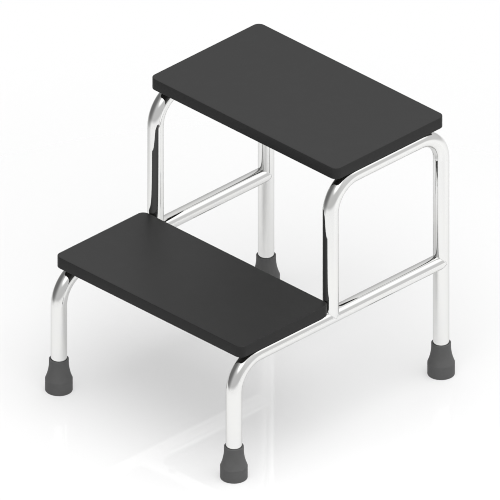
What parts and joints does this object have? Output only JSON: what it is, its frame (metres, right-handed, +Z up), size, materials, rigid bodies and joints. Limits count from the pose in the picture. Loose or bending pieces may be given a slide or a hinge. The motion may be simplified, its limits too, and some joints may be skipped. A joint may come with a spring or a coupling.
{
  "type": "mounting block",
  "caption": "Stepped mounting block: bent chrome tube frame with crossbars, black covered treads and flared rubber feet.",
  "frame": {"origin": "on the floor, at the middle of the footprint", "axes": "+Z up, +Y from the lower step towards the upper step, +X to the right of a person climbing"},
  "size_m": [0.417, 0.486, 0.458],
  "materials": {
    "chrome_tube": "bright chrome plate on steel tube, with faint drawing lines along it",
    "chrome_weld": "chrome plate over a rippled weld bead",
    "foot_rubber": "dark grey moulded rubber, matt with a slight sheen",
    "disc_steel": "zinc plated, dull",
    "board_plywood": "plywood sealed in black paint, the veneer grain showing through",
    "tread_rubber": "black moulded rubber with a fine pebble grain, matt",
    "screw_steel": "zinc plated",
    "saddle_plastic": "black nylon",
    "insert_brass": "turned"
  },
  "bodies": {
    "root": {"front_left_foot": "foot_rubber", "front_left_foot_disc": "disc_steel", "front_right_foot": "foot_rubber", "front_right_foot_disc": "disc_steel", "left_lower_tube": "chrome_tube", "left_post_weld": "chrome_weld", "left_rail_weld": "chrome_weld", "left_upper_tube": "chrome_tube", "lower_front_crossbar": "chrome_tube", "lower_front_crossbar_welds": "chrome_weld", "lower_rear_crossbar": "chrome_tube", "lower_rear_crossbar_welds": "chrome_weld", "lower_saddle_washers": "saddle_plastic", "lower_tread_core": "board_plywood", "lower_tread_cover": "tread_rubber", "lower_tread_inserts": "insert_brass", "lower_tread_screws": "screw_steel", "rear_left_foot": "foot_rubber", "rear_left_foot_disc": "disc_steel", "rear_right_foot": "foot_rubber", "rear_right_foot_disc": "disc_steel", "right_lower_tube": "chrome_tube", "right_post_weld": "chrome_weld", "right_rail_weld": "chrome_weld", "right_upper_tube": "chrome_tube", "upper_front_crossbar": "chrome_tube", "upper_front_crossbar_welds": "chrome_weld", "upper_rear_crossbar": "chrome_tube", "upper_rear_crossbar_welds": "chrome_weld", "upper_saddle_washers": "saddle_plastic", "upper_tread_core": "board_plywood", "upper_tread_cover": "tread_rubber", "upper_tread_inserts": "insert_brass", "upper_tread_screws": "screw_steel"}
  },
  "joints": []
}
